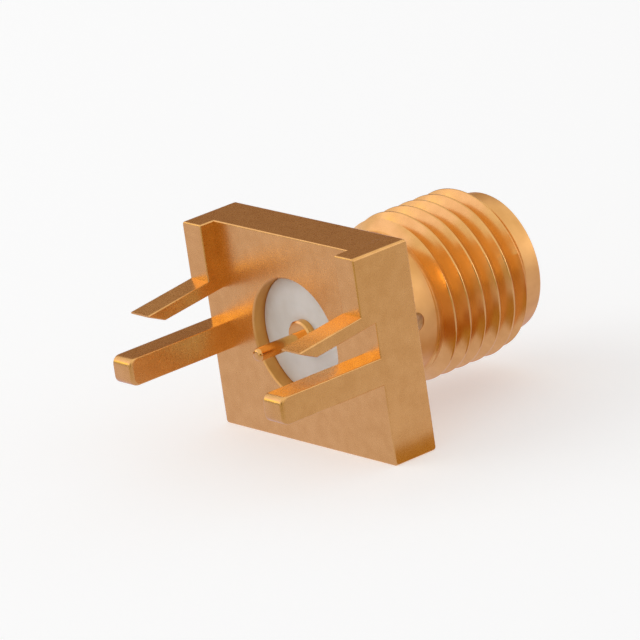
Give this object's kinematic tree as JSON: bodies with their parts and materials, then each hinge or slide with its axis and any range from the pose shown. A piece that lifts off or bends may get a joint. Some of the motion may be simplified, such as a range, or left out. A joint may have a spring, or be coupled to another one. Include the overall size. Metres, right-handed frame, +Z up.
{
  "type": "coaxial edge mount jack",
  "caption": "Coaxial jack for a circuit board's edge: a square flange with sloping and straight prongs behind, a solder pin, and a threaded barrel with a slotted socket in front.",
  "frame": {"origin": "on the coax axis, in the plane of the flange's rear face that the board's edge stops against", "axes": "+Y along the coax axis towards the board, -Y towards the mating end, X across the flange, +Z up, from the lower prongs towards the upper ones"},
  "size_m": [0.0096, 0.0142, 0.008],
  "materials": {
    "plated_brass": "gold plated, satin",
    "insulator": "turned fluoropolymer, matte",
    "plated_contact": "gold plated, smooth",
    "resin": "cured casting resin, amber"
  },
  "bodies": {
    "root": {"jack_body": "plated_brass", "insulator": "insulator", "centre_contact": "plated_contact", "resin_lock": "resin"}
  },
  "joints": []
}
